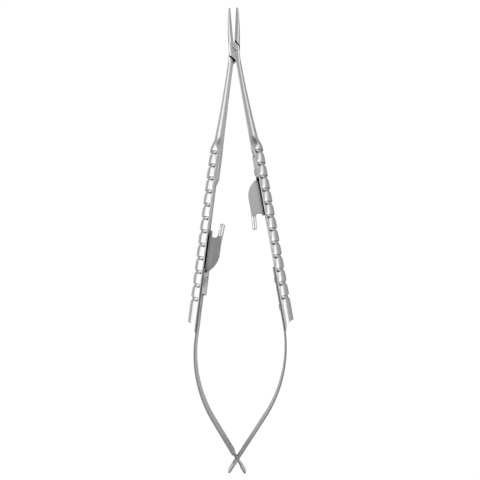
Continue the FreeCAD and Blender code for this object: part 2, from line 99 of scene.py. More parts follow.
# Painted shade in reflections: seen from the steel, the table is greyer outside the right arm's line
arm_line = node(tree, "ShaderNodeMath", operation="MULTIPLY_ADD")
arm_line.inputs[1].default_value = ARM_SLOPE
outside = node(
    tree, "ShaderNodeMapRange",
    i_From_Min=PIVOT.y * ARM_SLOPE + 0.002, i_From_Max=PIVOT.y * ARM_SLOPE + 0.003,
)
painted_reflection_grey = node(tree, "ShaderNodeMix", data_type="FLOAT", i_B=0.62)
surface = node(tree, "ShaderNodeBsdfDiffuse")
plain = node(tree, "ShaderNodeEmission", i_Color=(1, 1, 1, 1))
cloud = node(tree, "ShaderNodeTexNoise", i_Scale=18.0, i_Detail=3.0)
tone = node(tree, "ShaderNodeMapRange", i_To_Min=1.02, i_To_Max=1.05)
to_lens = node(tree, "ShaderNodeMath", operation="MULTIPLY")
to_lens.inputs[1].default_value = 0.96
# Glossy rays get the painted greys, all other rays the plain 0.93 white
white = node(tree, "ShaderNodeMix", data_type="FLOAT", i_A=0.93)
shown = node(tree, "ShaderNodeMixShader")
output = node(tree, "ShaderNodeOutputMaterial")
tree.links.new(path.outputs["Ray Length"], near.inputs["Value"])
tree.links.new(spot.outputs["Object"], parts.inputs[0])
tree.links.new(parts.outputs["Y"], arm_line.inputs[0])
tree.links.new(parts.outputs["X"], arm_line.inputs[2])
tree.links.new(arm_line.outputs[0], outside.inputs["Value"])
tree.links.new(outside.outputs["Result"], painted_reflection_grey.inputs["Factor"])
tree.links.new(near.outputs["Result"], painted_reflection_grey.inputs["A"])
tree.links.new(path.outputs["Is Glossy Ray"], white.inputs["Factor"])
tree.links.new(painted_reflection_grey.outputs["Result"], white.inputs["B"])
tree.links.new(white.outputs["Result"], surface.inputs["Color"])
tree.links.new(cloud.outputs["Fac"], tone.inputs["Value"])
tree.links.new(tone.outputs["Result"], plain.inputs["Strength"])
tree.links.new(path.outputs["Is Camera Ray"], to_lens.inputs[0])
tree.links.new(to_lens.outputs[0], shown.inputs["Fac"])
tree.links.new(surface.outputs["BSDF"], shown.inputs[1])
tree.links.new(plain.outputs["Emission"], shown.inputs[2])
tree.links.new(shown.outputs["Shader"], output.inputs["Surface"])
table_mesh = bpy.data.meshes.new("table")
corners = [(-1, -1, 0), (1, -1, 0), (1, 1, 0), (-1, 1, 0)]
table_mesh.from_pydata(corners, [], [(0, 1, 2, 3)])
table_mesh.transform(Matrix.Scale(HALF_TABLE, 4))
table_mesh.materials.append(table_material)
table = bpy.data.objects.new("table", table_mesh)
table.location.z = -TABLE_DROP
bpy.context.scene.collection.objects.link(table)

# The light: a tent of white cloth. Its long sides are bright panels that narrow towards the
# jaws, the right one greyer low down. It is dimmer overhead, most of all round the lens, and
# nearly dark past both ends.
world = bpy.data.worlds.new("light_tent")
world.use_nodes = True
bpy.context.scene.world = world
tree = world.node_tree
tree.nodes.clear()
direction = node(tree, "ShaderNodeTexCoord")
parts = node(tree, "ShaderNodeSeparateXYZ")
off_middle = node(tree, "ShaderNodeMath", operation="ADD")
off_middle.inputs[1].default_value = -0.05
sideways = node(tree, "ShaderNodeMath", operation="ABSOLUTE")
narrowing = node(tree, "ShaderNodeMath", operation="MULTIPLY", use_clamp=True)
narrowing.inputs[1].default_value = 0.22
panel = node(tree, "ShaderNodeMath", operation="SUBTRACT")
sides = node(
    tree, "ShaderNodeMapRange", interpolation_type="SMOOTHSTEP",
    i_From_Min=0.34, i_From_Max=0.66, i_To_Min=0.06, i_To_Max=1.2,
)
overhead = node(
    tree, "ShaderNodeMapRange", interpolation_type="SMOOTHSTEP",
    i_From_Min=0.15, i_From_Max=1.0, i_To_Min=0.0, i_To_Max=0.49,
)
from_lens = node(tree, "ShaderNodeVectorMath", operation="DISTANCE")
from_lens.inputs[1].default_value = (-0.13, 0.07, 0.985)
round_lens = node(
    tree, "ShaderNodeMapRange", interpolation_type="SMOOTHSTEP",
    i_From_Min=0.08, i_From_Max=0.18, i_To_Min=0.1,
)
ceiling = node(tree, "ShaderNodeMath", operation="MULTIPLY")
low_right = node(
    tree, "ShaderNodeMapRange", interpolation_type="SMOOTHSTEP",
    i_From_Min=0.78, i_From_Max=0.95, i_To_Min=1.0, i_To_Max=0.42,
)
dimmed = node(tree, "ShaderNodeMath", operation="MULTIPLY")
together = node(tree, "ShaderNodeMath", operation="ADD")
background = node(tree, "ShaderNodeBackground")
path = node(tree, "ShaderNodeLightPath")
backdrop = node(tree, "ShaderNodeMix", data_type="FLOAT", i_B=0.9)
output = node(tree, "ShaderNodeOutputWorld")
tree.links.new(direction.outputs["Generated"], parts.inputs[0])
tree.links.new(parts.outputs["X"], off_middle.inputs[0])
tree.links.new(off_middle.outputs[0], sideways.inputs[0])
tree.links.new(parts.outputs["Y"], narrowing.inputs[0])
tree.links.new(sideways.outputs[0], panel.inputs[0])
tree.links.new(narrowing.outputs[0], panel.inputs[1])
tree.links.new(panel.outputs[0], sides.inputs["Value"])
tree.links.new(parts.outputs["Z"], overhead.inputs["Value"])
tree.links.new(parts.outputs["X"], low_right.inputs["Value"])
tree.links.new(sides.outputs["Result"], dimmed.inputs[0])
tree.links.new(low_right.outputs["Result"], dimmed.inputs[1])
tree.links.new(dimmed.outputs[0], together.inputs[0])
tree.links.new(direction.outputs["Generated"], from_lens.inputs[0])
tree.links.new(from_lens.outputs["Value"], round_lens.inputs["Value"])
tree.links.new(overhead.outputs["Result"], ceiling.inputs[0])
tree.links.new(round_lens.outputs["Result"], ceiling.inputs[1])
tree.links.new(ceiling.outputs[0], together.inputs[1])
tree.links.new(path.outputs["Is Camera Ray"], backdrop.inputs["Factor"])
tree.links.new(together.outputs[0], backdrop.inputs["A"])
tree.links.new(backdrop.outputs["Result"], background.inputs["Color"])
tree.links.new(background.outputs[0], output.inputs["Surface"])

# The arms: each one forging of stainless steel, with a jaw, half of the lapped joint, a slim
# shank and a half-round grip with twelve grooves turned into it, then blasted to a satin
# finish. The second is the first turned over.
OPEN_ANGLE = 7.2
GRIP_LEAN = 4.6
SHANK_LENGTH = 36.5
SHANK_SIDE = 0.5
HANDLE_START = 1.2
GRIP_SWELL = 5.3
GRIP_END = 112.5
GRIP_CENTRE = 0.52
GRIP_RADIUS = 4.0
LAND = -0.05
SEAT = 0.8
SEAT_RUN_OUT = 2.6
SCOOP_RADIUS = 3.4
SCOOP_CENTRE = SEAT + 0.25 + SCOOP_RADIUS
FIRST_GROOVE = SHANK_LENGTH + GRIP_SWELL + 0.9
GROOVE_PITCH = 5.17
GROOVE_COUNT = 12
GROOVE_WRAP = 79.0
GROOVE_WRAP_BLEND = 3.2
JAW_LENGTH = 18.5
JAW_TIP = 0.45
JAW_FACE = 0.04
JAW_SHOULDER = 2.4
SHANK_SHOULDER = 2.9
SHOULDER_GAP = 0.5
SHOULDER_ANGLE = math.radians(42)
JOINT_WIDTH = 4.4
JOINT_HEIGHT = 3.8
JOINT_REACH = 6
JOINT_ROUND = 1.1
HALF_LAP_GAP = 0.03
LAP_ROOM = (9, 12, 9)
SCREW_HEAD = 1.2
SCREW_STEM = 0.75
SCREW_SPARE = 0.03
RIVET_RADIUS = 0.8
RIVET_DEPTH = 2.4
RIVET_SPARE = 0.02
FOOT_RIVET = 16.85
WEB_RIVET = 5.45
WEB_RIVET_HEIGHT = -1.2
LEFT_CATCH_PLACE = 75.7
RIGHT_CATCH_PLACE = 67.8
UPPER_LEAF_RIVET = 93.45
LOWER_LEAF_RIVET = 103.9
SHARP_EDGE = math.radians(32)

# Depth and height of the shank, and width and height of a jaw: at the joint, halfway, at the end
SHANK_DEPTHS = (2.0, 2.3, 3.3)
SHANK_HEIGHTS = (JOINT_HEIGHT, 4.6, 6.4)
JAW_WIDTHS = (2.2, 1.83, 0.96)
JAW_HEIGHTS = (JOINT_HEIGHT, 2.7, 1.6)


def smooth(share):
    """Even rise from 0 to 1 that starts and ends level."""
    share = min(max(share, 0), 1)
    return share * share * (3 - 2 * share)


def through(share, first, middle, last):
    """Quadratic through three values."""
    rise = first + (last - first) * share
    return rise + 4 * share * (1 - share) * (middle - (first + last) / 2)


# Depth of a groove at distances past its steep wall's top
GROOVE_PROFILE = [
    (-0.1, 0.0),
    (-0.02, 0.04),
    (0.04, 0.27),
    (0.1, 0.48),
    (0.2, 0.55),
    (0.5, 0.56),
    (0.8, 0.5),
    (1.1, 0.38),
    (1.38, 0.22),
    (1.5, 0.13),
    (1.62, 0.105),
    (2.3, 0.04),
    (3.2, 0.0),
]


def groove_depth(station):
    """How far the grip's round dips at a distance from the pivot."""
    number = math.floor((station - FIRST_GROOVE + 0.2) / GROOVE_PITCH)
    past = station - FIRST_GROOVE - number * GROOVE_PITCH
    if not 0 <= number < GROOVE_COUNT:
        return 0.0
    for (before, high), (after, low) in zip(GROOVE_PROFILE, GROOVE_PROFILE[1:]):
        if before <= past <= after:
            return high + (low - high) * (past - before) / (after - before)
    return 0.0


# Where the points of a ring lie on its round, closer together where the grooves run out
WRAP_EDGES = [0.845, 0.862, 0.878, 0.893]
EVEN_SHARES = {-1 + step / 26 for step in range(53)}
ROUND_SHARES = sorted(EVEN_SHARES | set(WRAP_EDGES) | {-edge for edge in WRAP_EDGES})


def d_ring(inner, side, outer, height, dip=0.0, corner=0.14, cut=math.inf):
    """Outline of a bar that is flat on its inner side and round outside, as (x, z) points."""
    half = height / 2
    sag = outer - side
    radius = (sag * sag + half * half) / (2 * sag)
    centre = outer - radius
    full = math.atan2(half, side - centre)
    start = inner + corner
    rim = half
    if start > side:
        rim = math.sqrt(radius**2 - (start - centre) ** 2)
    shares = list(ROUND_SHARES)
    if cut < outer:
        reach = math.acos(max(min((cut - centre) / radius, 1), -1)) / full
        for sign in (-1, 1):
            nearest = min(range(len(shares)), key=lambda i: abs(shares[i] - sign * reach))
            shares[nearest] = sign * reach
    ring = [(inner, corner - rim), (inner + 0.3 * corner, 0.3 * corner - rim), (start, -rim)]
    ring.append((max(start, (start + side) / 2), -rim))
    for share in shares:
        angle = share * full
        past_wrap = abs(math.degrees(angle)) - GROOVE_WRAP
        wrapped = 1 - smooth(past_wrap / GROOVE_WRAP_BLEND + 0.5)
        reach = radius - dip * wrapped
        x = centre + reach * math.cos(angle)
        z = reach * math.sin(angle)
        if x < start:
            x, z = start, math.copysign(rim, z)
        ring.append((min(x, cut), z))
    ring.append((max(start, (start + side) / 2), rim))
    ring += [(start, rim), (inner + 0.3 * corner, rim - 0.3 * corner), (inner, rim - corner)]
    return ring


def skin(bm, rings):
    """Closed surface over a row of rings of equal length."""
    rows = [[bm.verts.new(point) for point in ring] for ring in rings]
    count = len(rows[0])
    for row, following in zip(rows, rows[1:]):
        for i in range(count):
            j = (i + 1) % count
            bm.faces.new((row[i], row[j], following[j], following[i]))
    bm.faces.new(rows[0][::-1])
    bm.faces.new(rows[-1])


def solid(name, bm):
    """Object from a closed surface in millimetres about the pivot, its normals outward."""
    bmesh.ops.remove_doubles(bm, verts=bm.verts, dist=0.0005)
    bmesh.ops.dissolve_degenerate(bm, edges=bm.edges, dist=0.0002)
    bmesh.ops.recalc_face_normals(bm, faces=bm.faces)
    mesh = bpy.data.meshes.new(name)
    bm.to_mesh(mesh)
    bm.free()
    made = bpy.data.objects.new(name, mesh)
    bpy.context.scene.collection.objects.link(made)
    return made


def joined(name, body, tools, operation):
    """The body after a boolean with each tool; the tools are used up."""
    for tool in tools:
        change = body.modifiers.new("change", "BOOLEAN")
        change.operation = operation
        change.solver = "EXACT"
        change.object = tool
        state = body.evaluated_get(bpy.context.evaluated_depsgraph_get())
        mesh = bpy.data.meshes.new_from_object(state)
        body.modifiers.clear()
        body.data = mesh
        bpy.data.objects.remove(tool)
    body.name = name
    return body


def handle_rings(seat_start):
    """Rings of shank and grip along the grip's own line."""
    stations = [HANDLE_START + step * 0.8 for step in range(44)]
    stations += [SHANK_LENGTH + step * 0.26 for step in range(1, 22)]
    for number in range(GROOVE_COUNT):
        start = FIRST_GROOVE + number * GROOVE_PITCH
        stations += [start + past for past, depth in GROOVE_PROFILE]
        stations += [start + past for past in (0.42, 0.78, 1.15, 4.1)]
    stations += [seat_start - SEAT_RUN_OUT, seat_start]
    last = FIRST_GROOVE + GROOVE_COUNT * GROOVE_PITCH
    stations += [last + step for step in range(int(GRIP_END - SCOOP_RADIUS - last))]
    turns = [math.radians(step * 5) for step in range(19)]
    scooped = [(GRIP_END - SCOOP_RADIUS * math.cos(turn), turn) for turn in turns]
    rings = []
    rows = [(station, None) for station in sorted(set(stations))] + scooped
    for station, turn in rows:
        along = min(station / SHANK_LENGTH, 1)
        swell = smooth((station - SHANK_LENGTH) / GRIP_SWELL)
        depth = through(along, *SHANK_DEPTHS)
        height = through(along, *SHANK_HEIGHTS)
        side = (LAND + SHANK_SIDE) * (1 - swell) + GRIP_CENTRE * swell
        outer = (LAND + depth) * (1 - swell) + (GRIP_CENTRE + GRIP_RADIUS) * swell
        height = height * (1 - swell) + 2 * GRIP_RADIUS * swell
        milled = (station - seat_start) / SEAT_RUN_OUT + 1
        inner = LAND + (SEAT - LAND) * min(max(milled, 0), 1)
        cut = math.inf if turn is None else SCOOP_CENTRE - SCOOP_RADIUS * math.sin(turn)
        ring = d_ring(inner, side, outer, height, groove_depth(station), cut=cut)
        rings.append([Vector((x, -station, z)) for x, z in ring])
    return rings


def jaw_rings():
    """Rings of the left jaw, from inside the joint to its rounded tip."""
    rings = []
    stations = [0, JAW_SHOULDER / 2] + [JAW_SHOULDER + step * 0.52 for step in range(31)]
    round_start = JAW_LENGTH - JAW_TIP
    ends = [round_start + JAW_TIP * math.sin(math.radians(turn)) for turn in range(0, 91, 15)]
    for station in stations + ends:
        share = min(max((station - JAW_SHOULDER) / (round_start - JAW_SHOULDER), 0), 1)
        width = through(share, *JAW_WIDTHS)
        height = through(share, *JAW_HEIGHTS)
        past = max((station - round_start) / JAW_TIP, 0)
        drawn_in = JAW_TIP * (1 - math.sqrt(max(1 - past * past, 0)))
        width -= drawn_in
        height -= drawn_in
        ring = d_ring(JAW_FACE, width / 4, width, height, corner=0.09)
        rings.append([Vector((-x, station, z)) for x, z in ring])
    return rings


def shoulder_planes(turn, gap):
    """Point and normal of the two slanted shoulders of a lap."""
    normal = Vector((turn * math.cos(SHOULDER_ANGLE), math.sin(SHOULDER_ANGLE), 0))
    return [
        (normal * (JAW_SHOULDER + gap), normal),
        (normal * -(SHANK_SHOULDER + gap), -normal),
    ]


def trimmed(bm, planes):
    """Cuts away what lies beyond each plane and closes the cut."""
    for point, normal in planes:
        cut = bmesh.ops.bisect_plane(
            bm,
            geom=bm.verts[:] + bm.edges[:] + bm.faces[:],
            plane_co=point,
            plane_no=normal,
            clear_outer=True,
        )
        rim = [item for item in cut["geom_cut"] if isinstance(item, bmesh.types.BMEdge)]
        bmesh.ops.contextual_create(bm, geom=rim)


def brick(low, high):
    """Rectangular block between two corners."""
    bm = bmesh.new()
    size = [b - a for a, b in zip(low, high)]
    middle = Vector([(a + b) / 2 for a, b in zip(low, high)])
    place = Matrix.Translation(middle) @ Matrix.Diagonal((*size, 1))
    bmesh.ops.create_cube(bm, size=1, matrix=place)
    return bm


def lathed(profile, steps=64):
    """Surface turned round the z axis from (radius, height) points."""
    bm = bmesh.new()
    rings = []
    for radius, height in profile:
        if radius == 0:
            rings.append([bm.verts.new((0, 0, height))])
            continue
        turns = [2 * math.pi * step / steps for step in range(steps)]
        rings.append(
            [bm.verts.new((radius * math.cos(a), radius * math.sin(a), height)) for a in turns]
        )
    for ring, following in zip(rings, rings[1:]):
        for i in range(steps):
            j = (i + 1) % steps
            corners = [ring[i % len(ring)], ring[j % len(ring)]]
            corners += [following[j % len(following)], following[i % len(following)]]
            bm.faces.new(list(dict.fromkeys(corners)))
    return bm


def screw_profile(spare):
    """Countersunk head and stem, grown by a clearance, and past both ends of the joint."""
    head = SCREW_HEAD + spare
    stem = SCREW_STEM + spare
    top = JOINT_HEIGHT / 2
    return [
        (0, top + 1),
        (head, top + 1),
        (head, top),
        (stem, top - head + stem),
        (stem, -top - 1),
        (0, -top - 1),
    ]


def drill(low, high):
    """Cutter for a rivet's hole, along z."""
    radius = RIVET_RADIUS + RIVET_SPARE
    return solid("hole", lathed([(0, low), (radius, low), (radius, high), (0, high)], 32))


def arm(name, seat_start, over, rivets):
    """One arm, drilled for its rivets, each at a (distance, height) on the grip."""
    bm = bmesh.new()
    skin(bm, handle_rings(seat_start))
    handle = solid("handle", bm)
    handle.data.transform(Matrix.Rotation(math.radians(GRIP_LEAN), 4, "Z"))
    bm = bmesh.new()
    skin(bm, jaw_rings())
    jaw = solid("jaw", bm)
    low = (-JOINT_WIDTH / 2, -JOINT_REACH, -JOINT_HEIGHT / 2)
    bm = brick(low, (JOINT_WIDTH / 2, JAW_SHOULDER + SHOULDER_GAP, JOINT_HEIGHT / 2))
    long_edges = [edge for edge in bm.edges if abs(edge.verts[0].co.y - edge.verts[1].co.y) > 1]
    bmesh.ops.bevel(
        bm, geom=long_edges, offset=JOINT_ROUND, segments=7, profile=0.5, affect="EDGES"
    )
    trimmed(bm, shoulder_planes(1, 0))
    block = solid("block", bm)
    wide, far, deep = LAP_ROOM
    bm = brick((-wide, -far, -deep), (wide, far, HALF_LAP_GAP))
    trimmed(bm, shoulder_planes(-1, SHOULDER_GAP))
    room = solid("room", bm)
    hole = solid("hole", lathed(screw_profile(SCREW_SPARE)))
    whole = joined(name, block, [jaw, handle], "UNION")
    holes = [room, hole]
    for distance, height in rivets:
        rivet_hole = drill(-RIVET_DEPTH - RIVET_SPARE, 2)
        place = Matrix.Translation((SEAT, -distance, -height if over else height))
        across = Matrix.Rotation(-math.pi / 2, 4, "Y")
        leaned = Matrix.Rotation(math.radians(GRIP_LEAN), 4, "Z")
        rivet_hole.data.transform(leaned @ place @ across)
        holes.append(rivet_hole)
    whole = joined(name, whole, holes, "DIFFERENCE")
    turn = Matrix.Rotation(math.radians(OPEN_ANGLE / 2), 4, "Z")
    if over:
        turn = turn.inverted() @ Matrix.Rotation(math.pi, 4, "Y")
    whole.data.transform(Matrix.Translation(PIVOT) @ Matrix.Scale(MM, 4) @ turn)
    return whole


def finished(piece, body, material, *nodes):
    """Smooth shading up to real edges, then the material, the body and the nodes it stands for."""
    for face in piece.data.polygons:
        face.use_smooth = True
    piece.data.set_sharp_from_angle(angle=SHARP_EDGE)
    piece.data.materials.clear()
    piece.data.materials.append(material)
    if body:
        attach(piece, body)
    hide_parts(*nodes)


def socketed(name, inputs, outputs):
    """Empty shader group with its sockets, and its input and output nodes."""
    group = bpy.data.node_groups.new(name, "ShaderNodeTree")
    for label, kind, value in inputs:
        socket = group.interface.new_socket(label, in_out="INPUT", socket_type=kind)
        socket.default_value = value
    for label, kind in outputs:
        group.interface.new_socket(label, in_out="OUTPUT", socket_type=kind)
    return group, group.nodes.new("NodeGroupInput"), group.nodes.new("NodeGroupOutput")


# Fine lines left by the finishing belt, along the piece, over the soft cloudiness of blasting
grain, taken, given = socketed(
    "belt_grain",
    [
        ("Turn", "NodeSocketFloat", 0.0),
        ("Fineness", "NodeSocketFloat", 9000.0),
        ("Stretch", "NodeSocketFloat", 0.03),
    ],
    [("Lines", "NodeSocketFloat"), ("Clouds", "NodeSocketFloat")],
)
place = node(grain, "ShaderNodeTexCoord")
turning = node(grain, "ShaderNodeVectorRotate", rotation_type="Z_AXIS")
shape = node(grain, "ShaderNodeCombineXYZ", i_X=1.0, i_Z=1.0)
drawn = node(grain, "ShaderNodeVectorMath", operation="MULTIPLY")
lines = node(grain, "ShaderNodeTexNoise", i_Detail=4.0, i_Roughness=0.65)
clouds = node(grain, "ShaderNodeTexNoise", i_Scale=700.0, i_Detail=5.0, i_Roughness=0.6)
grain.links.new(place.outputs["Object"], turning.inputs["Vector"])
grain.links.new(taken.outputs["Turn"], turning.inputs["Angle"])
grain.links.new(taken.outputs["Stretch"], shape.inputs["Y"])
grain.links.new(turning.outputs["Vector"], drawn.inputs[0])
grain.links.new(shape.outputs["Vector"], drawn.inputs[1])
grain.links.new(drawn.outputs["Vector"], lines.inputs["Vector"])
grain.links.new(taken.outputs["Fineness"], lines.inputs["Scale"])
grain.links.new(place.outputs["Object"], clouds.inputs["Vector"])
grain.links.new(lines.outputs["Fac"], given.inputs["Lines"])
grain.links.new(clouds.outputs["Fac"], given.inputs["Clouds"])

# Edges rubbed brighter and smoother by use
wear, taken, given = socketed(
    "rubbed_edges",
    [("Reach", "NodeSocketFloat", 0.06), ("Patchiness", "NodeSocketFloat", 0.5)],
    [("Mask", "NodeSocketFloat")],
)
form = node(wear, "ShaderNodeNewGeometry")
place = node(wear, "ShaderNodeTexCoord")
patches = node(wear, "ShaderNodeTexNoise", i_Scale=1500.0, i_Detail=4.0)
blotted = node(wear, "ShaderNodeMath", operation="MULTIPLY_ADD")
blotted.inputs[2].default_value = 0.55
sharpness = node(wear, "ShaderNodeMath", operation="SUBTRACT")
sharpness.inputs[1].default_value = 0.5
spread = node(wear, "ShaderNodeMath", operation="DIVIDE", use_clamp=True)
worn = node(wear, "ShaderNodeMath", operation="MULTIPLY", use_clamp=True)
wear.links.new(form.outputs["Pointiness"], sharpness.inputs[0])
wear.links.new(sharpness.outputs[0], spread.inputs[0])
wear.links.new(taken.outputs["Reach"], spread.inputs[1])
wear.links.new(place.outputs["Object"], patches.inputs["Vector"])
wear.links.new(patches.outputs["Fac"], blotted.inputs[0])
wear.links.new(taken.outputs["Patchiness"], blotted.inputs[1])
wear.links.new(spread.outputs[0], worn.inputs[0])
wear.links.new(blotted.outputs[0], worn.inputs[1])
wear.links.new(worn.outputs[0], given.inputs["Mask"])


def steel(
    name,
    dark,
    light,
    smoothest,
    roughest,
    relief,
    edge=0.0001,
    around=0.0012,
    painted_top_tone=1.0,
    pattern=grain,
    **marked,
):
    """Stainless steel: its greys, its range of roughness, the depth of its grain, the round of
    its edges, the reach of the shade painted into its crevices and the painted shade on faces that look
    up."""
    material = bpy.data.materials.new(name)
    material.use_nodes = True
    tree = material.node_tree
    tree.nodes.clear()
    marks = node(tree, "ShaderNodeGroup", node_tree=pattern, **marked)
    rubbed = node(tree, "ShaderNodeGroup", node_tree=wear)
    grey = node(
        tree, "ShaderNodeMix", data_type="RGBA",
        i_A=(dark, dark, dark * 1.005, 1), i_B=(light, light, light * 1.005, 1),
    )
    bright = node(tree, "ShaderNodeMix", data_type="RGBA", i_B=(0.86, 0.86, 0.865, 1))
    # Painted shade: ambient occlusion darkens the base colour in crevices, grooves and between parts
    enclosed = node(tree, "ShaderNodeAmbientOcclusion", samples=6, i_Distance=around)
    shade = node(tree, "ShaderNodeMapRange", i_From_Min=0.33, i_From_Max=0.86, i_To_Min=0.03)
    facing = node(tree, "ShaderNodeTexCoord")
    upright = node(tree, "ShaderNodeSeparateXYZ")
    # Painted shade: faces that look up are darkened to the given tone, on the leaves their top edges
    painted_top_shade = node(
        tree, "ShaderNodeMapRange",
        i_From_Min=0.5, i_From_Max=0.85, i_To_Min=1.0, i_To_Max=painted_top_tone,
    )
    tone = node(tree, "ShaderNodeMath", operation="MULTIPLY")
    in_shade = node(tree, "ShaderNodeMix", data_type="RGBA", blend_type="MULTIPLY", i_Factor=1.0)
    rough = node(
        tree, "ShaderNodeMapRange",
        i_From_Min=0.3, i_From_Max=0.7, i_To_Min=smoothest, i_To_Max=roughest,
    )
    polished = node(tree, "ShaderNodeMath", operation="MULTIPLY_ADD")
    polished.inputs[1].default_value = -0.07
    rounded = node(tree, "ShaderNodeBevel", samples=4, i_Radius=edge)
    bump = node(tree, "ShaderNodeBump", i_Strength=relief, i_Distance=0.00001)
    metal = node(tree, "ShaderNodeBsdfPrincipled", i_Metallic=1.0)
    output = node(tree, "ShaderNodeOutputMaterial")
    tree.links.new(marks.outputs["Clouds"], grey.inputs["Factor"])
    tree.links.new(rubbed.outputs["Mask"], bright.inputs["Factor"])
    tree.links.new(grey.outputs["Result"], bright.inputs["A"])
    tree.links.new(enclosed.outputs["AO"], shade.inputs["Value"])
    tree.links.new(bright.outputs["Result"], in_shade.inputs["A"])
    tree.links.new(facing.outputs["Normal"], upright.inputs[0])
    tree.links.new(upright.outputs["Z"], painted_top_shade.inputs["Value"])
    tree.links.new(shade.outputs["Result"], tone.inputs[0])
    tree.links.new(painted_top_shade.outputs["Result"], tone.inputs[1])
    tree.links.new(tone.outputs[0], in_shade.inputs["B"])
    tree.links.new(in_shade.outputs["Result"], metal.inputs["Base Color"])
    tree.links.new(marks.outputs["Lines"], rough.inputs["Value"])
    tree.links.new(rubbed.outputs["Mask"], polished.inputs[0])
    tree.links.new(rough.outputs["Result"], polished.inputs[2])
    tree.links.new(polished.outputs[0], metal.inputs["Roughness"])
    tree.links.new(marks.outputs["Lines"], bump.inputs["Height"])
    tree.links.new(rounded.outputs["Normal"], bump.inputs["Normal"])
    tree.links.new(bump.outputs["Normal"], metal.inputs["Normal"])
    tree.links.new(metal.outputs["BSDF"], output.inputs["Surface"])
    return material


lean = math.radians(GRIP_LEAN + OPEN_ANGLE / 2)
satin = {"dark": 0.68, "light": 0.75, "smoothest": 0.18, "roughest": 0.26, "relief": 0.2}
# Painted shade reaching 1.8 mm darkens the grooves, the joint gap and the pockets of the arms
upper_steel = steel("upper_arm_satin", **satin, around=0.0018, i_Turn=-lean)
lower_steel = steel("lower_arm_satin", **satin, around=0.0018, i_Turn=lean)
upper_rivets = [
    (RIGHT_CATCH_PLACE - FOOT_RIVET, 0),
    (RIGHT_CATCH_PLACE - WEB_RIVET, WEB_RIVET_HEIGHT),
    (UPPER_LEAF_RIVET, 0),
    (LOWER_LEAF_RIVET, 0),
]
lower_rivets = [
    (LEFT_CATCH_PLACE + FOOT_RIVET, 0),
    (LEFT_CATCH_PLACE + WEB_RIVET, WEB_RIVET_HEIGHT),
    (LOWER_LEAF_RIVET, 0),
]
upper_arm = arm("upper_arm_forging", 44.0, False, upper_rivets)
finished(upper_arm, "upper_half", upper_steel, "upper_arm")
lower_arm = arm("lower_arm_forging", 55.0, True, lower_rivets)
finished(lower_arm, "lower_half", lower_steel, "lower_arm")

# The springs: two leaves of hardened sheet, blanked flat with a barbed tongue on one and a
# slot in the other, bent round, then riveted to the grips and hooked through each other.
LEAF_TOP = 88.45
LEAF_THICKNESS = 0.6
LEAF_HALF_TOP = 3.7
LEAF_HALF_TAIL = 3.1
LEAF_RIM = 0.11
CROSSING_DROP = 44.8
SLOT_START = -2.8
SLOT_END = 2.4
SLOT_HALF = 1.7
SLOT_CORNER = 0.6
TAIL_LENGTH = 5.6
TAIL_ROUND = 2.2


def leaf_path(bend_start, tail_lean, crossing_x):
    """Rule that puts a point of the flat blank, (along, out, height), on the bent leaf."""
    turn = -math.radians(tail_lean)
    outward = Vector((math.cos(lean), math.sin(lean), 0))
    along = Vector((math.sin(lean), -math.cos(lean), 0))
    tail_along = Vector((math.sin(turn), -math.cos(turn), 0))
    start = outward * (SEAT - LEAF_THICKNESS / 2) + along * LEAF_TOP
    straight = GRIP_END + bend_start - LEAF_TOP
    bend = start + along * straight
    crossing = Vector((crossing_x, -GRIP_END - CROSSING_DROP, 0))
    tangent = (crossing - bend).cross(tail_along).z / along.cross(tail_along).z
    radius = tangent / math.tan((lean - turn) / 2)
    centre = bend - outward * radius
    bent = radius * (lean - turn)
    leaves_bend = centre + Vector((math.cos(turn), math.sin(turn), 0)) * radius
    to_crossing = straight + bent + (crossing - leaves_bend).dot(tail_along)

    def put(point):
        length, out, height = point
        if length <= straight:
            place = start + along * length + outward * out
        elif length <= straight + bent:
            angle = lean - (length - straight) / radius
            place = centre + Vector((math.cos(angle), math.sin(angle), 0)) * (radius + out)
        else:
            across = Vector((math.cos(turn), math.sin(turn), 0))
            place = leaves_bend + across * out + tail_along * (length - straight - bent)
        return place + Vector((0, 0, height))

    return put, straight, to_crossing


def blank(name, rows, rivets, hole=None):
    """Flat leaf from (along, half width, half slot) rows; the slot's part is left out."""
    bm = bmesh.new()
    lines = []
    for along, half, gap in rows:
        heights = [-half, -(half + gap) / 2, -gap, 0, gap, (half + gap) / 2, half]
        lines.append([bm.verts.new((along, 0, height)) for height in heights])
    for row, following, first, second in zip(rows, rows[1:], lines, lines[1:]):
        middle = (row[0] + following[0]) / 2
        for i in range(6):
            if hole and hole[0] < middle < hole[1] and i in (2, 3):
                continue
            bm.faces.new((first[i], first[i + 1], second[i + 1], second[i]))
    mesh = bpy.data.meshes.new(name)
    bm.to_mesh(mesh)
    bm.free()
    made = bpy.data.objects.new(name, mesh)
    bpy.context.scene.collection.objects.link(made)
    thick = made.modifiers.new("thickness", "SOLIDIFY")
    thick.thickness = LEAF_THICKNESS
    thick.offset = 0
    rounded = made.modifiers.new("rim", "BEVEL")
    rounded.width = LEAF_RIM
    rounded.segments = 2
    rounded.limit_method = "ANGLE"
    rounded.angle_limit = math.radians(50)
    state = made.evaluated_get(bpy.context.evaluated_depsgraph_get())
    mesh = bpy.data.meshes.new_from_object(state)
    made.modifiers.clear()
    made.data = mesh
    holes = []
    for distance in rivets:
        rivet_hole = drill(-1, 1)
        across = Matrix.Rotation(math.pi / 2, 4, "X")
        rivet_hole.data.transform(Matrix.Translation((distance - LEAF_TOP, 0, 0)) @ across)
        holes.append(rivet_hole)
    return joined(name, made, holes, "DIFFERENCE")


